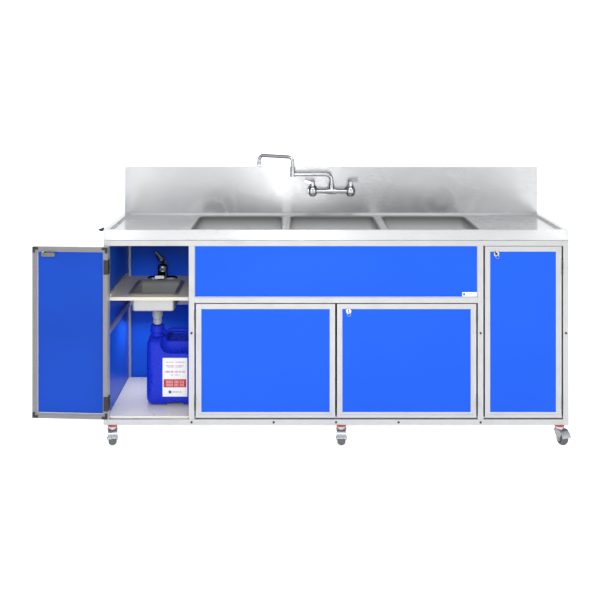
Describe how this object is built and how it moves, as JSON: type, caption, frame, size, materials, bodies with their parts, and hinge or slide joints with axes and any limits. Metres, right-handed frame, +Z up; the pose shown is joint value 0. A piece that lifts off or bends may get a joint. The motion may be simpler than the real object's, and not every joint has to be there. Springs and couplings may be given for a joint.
{
  "type": "portable handwash and dishwashing sink",
  "caption": "Self-contained stainless concession sink on casters: deep bowls, drainboards, swing spout, doored aluminium cabinet and a small handwash bay.",
  "frame": {"origin": "middle of the underside of the base frame, on the centre cross rail; the floor is 86 mm below", "axes": "+X to the right of a person standing at the sink, +Y to the backsplash, +Z up"},
  "size_m": [2.421, 0.79, 1.2565],
  "materials": {
    "frame_aluminium": "satin anodised extrusion",
    "black_plastic": "moulded, fine grain",
    "blue_panel": "smooth laminate with a soft sheen",
    "white_floor": "smooth sheet",
    "hinge_metal": "dark satin coat",
    "stainless": "fine lengthwise brushing",
    "stainless_bowl": "satin",
    "chrome": "polished",
    "drain_plastic": "translucent grey",
    "tank_plastic": "rotomoulded, slightly rough",
    "heater_enamel": "baked enamel",
    "pump_plastic": "moulded",
    "hose_rubber": "braid-textured",
    "jug_plastic": "blow moulded",
    "zinc": "bright zinc plate",
    "wheel_rubber": "grey, crowned tread"
  },
  "bodies": {
    "cabinet": {"frame_posts": "frame_aluminium", "frame_long_rails": "frame_aluminium", "frame_cross_rails": "frame_aluminium", "frame_connectors": "black_plastic", "fascia_panel": "blue_panel", "wall_panels": "blue_panel", "floor_panel": "white_floor", "hinge_frame_leaves": "hinge_metal", "sink_top": "stainless", "sink_bowls": "stainless_bowl", "bowl_strainers": "stainless_bowl", "drain_pipe": "drain_plastic", "fresh_tank": "tank_plastic", "waste_tank": "tank_plastic", "water_heater": "heater_enamel", "water_pump": "pump_plastic", "supply_hoses": "hose_rubber", "faucet_bridge": "chrome", "hand_shelf": "stainless_bowl", "hand_basin": "stainless_bowl", "hand_drain": "drain_plastic", "hand_faucet_body": "chrome", "caster_stems": "zinc"},
    "inner_spout": {"inner_spout": "chrome"},
    "outer_spout": {"outer_spout": "chrome"},
    "hot_lever": {"hot_lever": "chrome"},
    "cold_lever": {"cold_lever": "chrome"},
    "hand_cap": {"hand_faucet_cap": "chrome"},
    "hand_lever": {"hand_faucet_lever": "chrome"},
    "waste_jug": {"waste_jug": "jug_plastic"},
    "left_door": {"left_door_frame": "frame_aluminium", "left_door_panel": "blue_panel", "left_door_fittings": "black_plastic", "left_lock_housing": "chrome"},
    "centre_left_door": {"centre_left_door_frame": "frame_aluminium", "centre_left_door_panel": "blue_panel", "centre_left_door_fittings": "black_plastic"},
    "centre_right_door": {"centre_right_door_frame": "frame_aluminium", "centre_right_door_panel": "blue_panel", "centre_right_door_fittings": "black_plastic", "centre_right_lock_housing": "chrome"},
    "right_door": {"right_door_frame": "frame_aluminium", "right_door_panel": "blue_panel", "right_door_fittings": "black_plastic", "right_lock_housing": "chrome"},
    "left_lock": {"left_lock_cam": "chrome"},
    "centre_right_lock": {"centre_right_lock_cam": "chrome"},
    "right_lock": {"right_lock_cam": "chrome"},
    "front_left_caster": {"front_left_caster_fork": "zinc"},
    "front_left_wheel": {"front_left_caster_wheel": "wheel_rubber"},
    "front_middle_caster": {"front_middle_caster_fork": "zinc"},
    "front_middle_wheel": {"front_middle_caster_wheel": "wheel_rubber"},
    "front_right_caster": {"front_right_caster_fork": "zinc"},
    "front_right_wheel": {"front_right_caster_wheel": "wheel_rubber"},
    "rear_left_caster": {"rear_left_caster_fork": "zinc"},
    "rear_left_wheel": {"rear_left_caster_wheel": "wheel_rubber"},
    "rear_middle_caster": {"rear_middle_caster_fork": "zinc"},
    "rear_middle_wheel": {"rear_middle_caster_wheel": "wheel_rubber"},
    "rear_right_caster": {"rear_right_caster_fork": "zinc"},
    "rear_right_wheel": {"rear_right_caster_wheel": "wheel_rubber"}
  },
  "joints": [
    {"name": "left_door_swing", "type": "hinge", "parent": "cabinet", "child": "left_door", "pos_m": [-1.0181, -0.351, 0.4], "axis": [0, 0, -1], "range_deg": [-184, 0]},
    {"name": "centre_left_door_swing", "type": "hinge", "parent": "cabinet", "child": "centre_left_door", "pos_m": [-0.6343, -0.351, 0.3], "axis": [0, 0, -1], "range_deg": [0, 110]},
    {"name": "centre_right_door_swing", "type": "hinge", "parent": "cabinet", "child": "centre_right_door", "pos_m": [0.6343, -0.351, 0.3], "axis": [0, 0, 1], "range_deg": [0, 110]},
    {"name": "right_door_swing", "type": "hinge", "parent": "cabinet", "child": "right_door", "pos_m": [1.0181, -0.351, 0.4], "axis": [0, 0, 1], "range_deg": [0, 180]},
    {"name": "left_lock_turn", "type": "hinge", "parent": "left_door", "child": "left_lock", "pos_m": [-1.31426, -0.34432, 0.77], "axis": [-0.0698, -0.9976, 0], "range_deg": [0, 90]},
    {"name": "centre_right_lock_turn", "type": "hinge", "parent": "centre_right_door", "child": "centre_right_lock", "pos_m": [0.0565, -0.337, 0.511], "axis": [0, -1, 0], "range_deg": [0, 90]},
    {"name": "right_lock_turn", "type": "hinge", "parent": "right_door", "child": "right_lock", "pos_m": [0.7222, -0.337, 0.77], "axis": [0, -1, 0], "range_deg": [0, 90]},
    {"name": "inner_spout_swing", "type": "hinge", "parent": "cabinet", "child": "inner_spout", "pos_m": [0, 0.227, 1.014], "axis": [0, 0, 1], "range_deg": [0, 180]},
    {"name": "outer_spout_swing", "type": "hinge", "parent": "inner_spout", "child": "outer_spout", "pos_m": [-0.195, 0.227, 1.09], "axis": [0, 0, 1], "range_deg": [-90, 230]},
    {"name": "hot_lever_turn", "type": "hinge", "parent": "cabinet", "child": "hot_lever", "pos_m": [-0.095, 0.227, 1.02], "axis": [0, 0, 1], "range_deg": [0, 90]},
    {"name": "cold_lever_turn", "type": "hinge", "parent": "cabinet", "child": "cold_lever", "pos_m": [0.095, 0.227, 1.02], "axis": [0, 0, -1], "range_deg": [0, 90]},
    {"name": "hand_cap_swivel", "type": "hinge", "parent": "cabinet", "child": "hand_cap", "pos_m": [-0.838, 0.14, 0.616], "axis": [0, 0, 1], "range_deg": [0, 90]},
    {"name": "hand_lever_lift", "type": "hinge", "parent": "hand_cap", "child": "hand_lever", "pos_m": [-0.83234, 0.14566, 0.65], "axis": [-0.7071, 0.7071, 0], "range_deg": [0, 30]},
    {"name": "waste_jug_slide", "type": "slide", "parent": "cabinet", "child": "waste_jug", "axis": [-0.3134, -0.9496, 0], "range_m": [0, 0.395]},
    {"name": "front_left_caster_swivel", "type": "hinge", "parent": "cabinet", "child": "front_left_caster", "pos_m": [-1.008, -0.3343, -0.015], "axis": [0, 0, 1], "continuous": true},
    {"name": "front_left_wheel_spin", "type": "hinge", "parent": "front_left_caster", "child": "front_left_wheel", "pos_m": [-1.00418, -0.35597, -0.055], "axis": [0.9848, 0.1736, 0], "continuous": true},
    {"name": "front_middle_caster_swivel", "type": "hinge", "parent": "cabinet", "child": "front_middle_caster", "pos_m": [0.024, -0.3343, -0.015], "axis": [0, 0, 1], "continuous": true},
    {"name": "front_middle_wheel_spin", "type": "hinge", "parent": "front_middle_caster", "child": "front_middle_wheel", "pos_m": [0.02323, -0.35629, -0.055], "axis": [0.9994, -0.0349, 0], "continuous": true},
    {"name": "front_right_caster_swivel", "type": "hinge", "parent": "cabinet", "child": "front_right_caster", "pos_m": [1.008, -0.3343, -0.015], "axis": [0, 0, 1], "continuous": true},
    {"name": "front_right_wheel_spin", "type": "hinge", "parent": "front_right_caster", "child": "front_right_wheel", "pos_m": [1.01624, -0.3547, -0.055], "axis": [0.9272, 0.3746, 0], "continuous": true},
    {"name": "rear_left_caster_swivel", "type": "hinge", "parent": "cabinet", "child": "rear_left_caster", "pos_m": [-1.008, 0.3343, -0.015], "axis": [0, 0, 1], "continuous": true},
    {"name": "rear_left_wheel_spin", "type": "hinge", "parent": "rear_left_caster", "child": "rear_left_wheel", "pos_m": [-1.00231, 0.35555, -0.055], "axis": [-0.9659, 0.2588, 0], "continuous": true},
    {"name": "rear_middle_caster_swivel", "type": "hinge", "parent": "cabinet", "child": "rear_middle_caster", "pos_m": [0.024, 0.3343, -0.015], "axis": [0, 0, 1], "continuous": true},
    {"name": "rear_middle_wheel_spin", "type": "hinge", "parent": "rear_middle_caster", "child": "rear_middle_wheel", "pos_m": [0.02018, 0.35597, -0.055], "axis": [-0.9848, -0.1736, 0], "continuous": true},
    {"name": "rear_right_caster_swivel", "type": "hinge", "parent": "cabinet", "child": "rear_right_caster", "pos_m": [1.008, 0.3343, -0.015], "axis": [0, 0, 1], "continuous": true},
    {"name": "rear_right_wheel_spin", "type": "hinge", "parent": "rear_right_caster", "child": "rear_right_wheel", "pos_m": [1.01833, 0.35372, -0.055], "axis": [-0.8829, 0.4695, 0], "continuous": true}
  ]
}
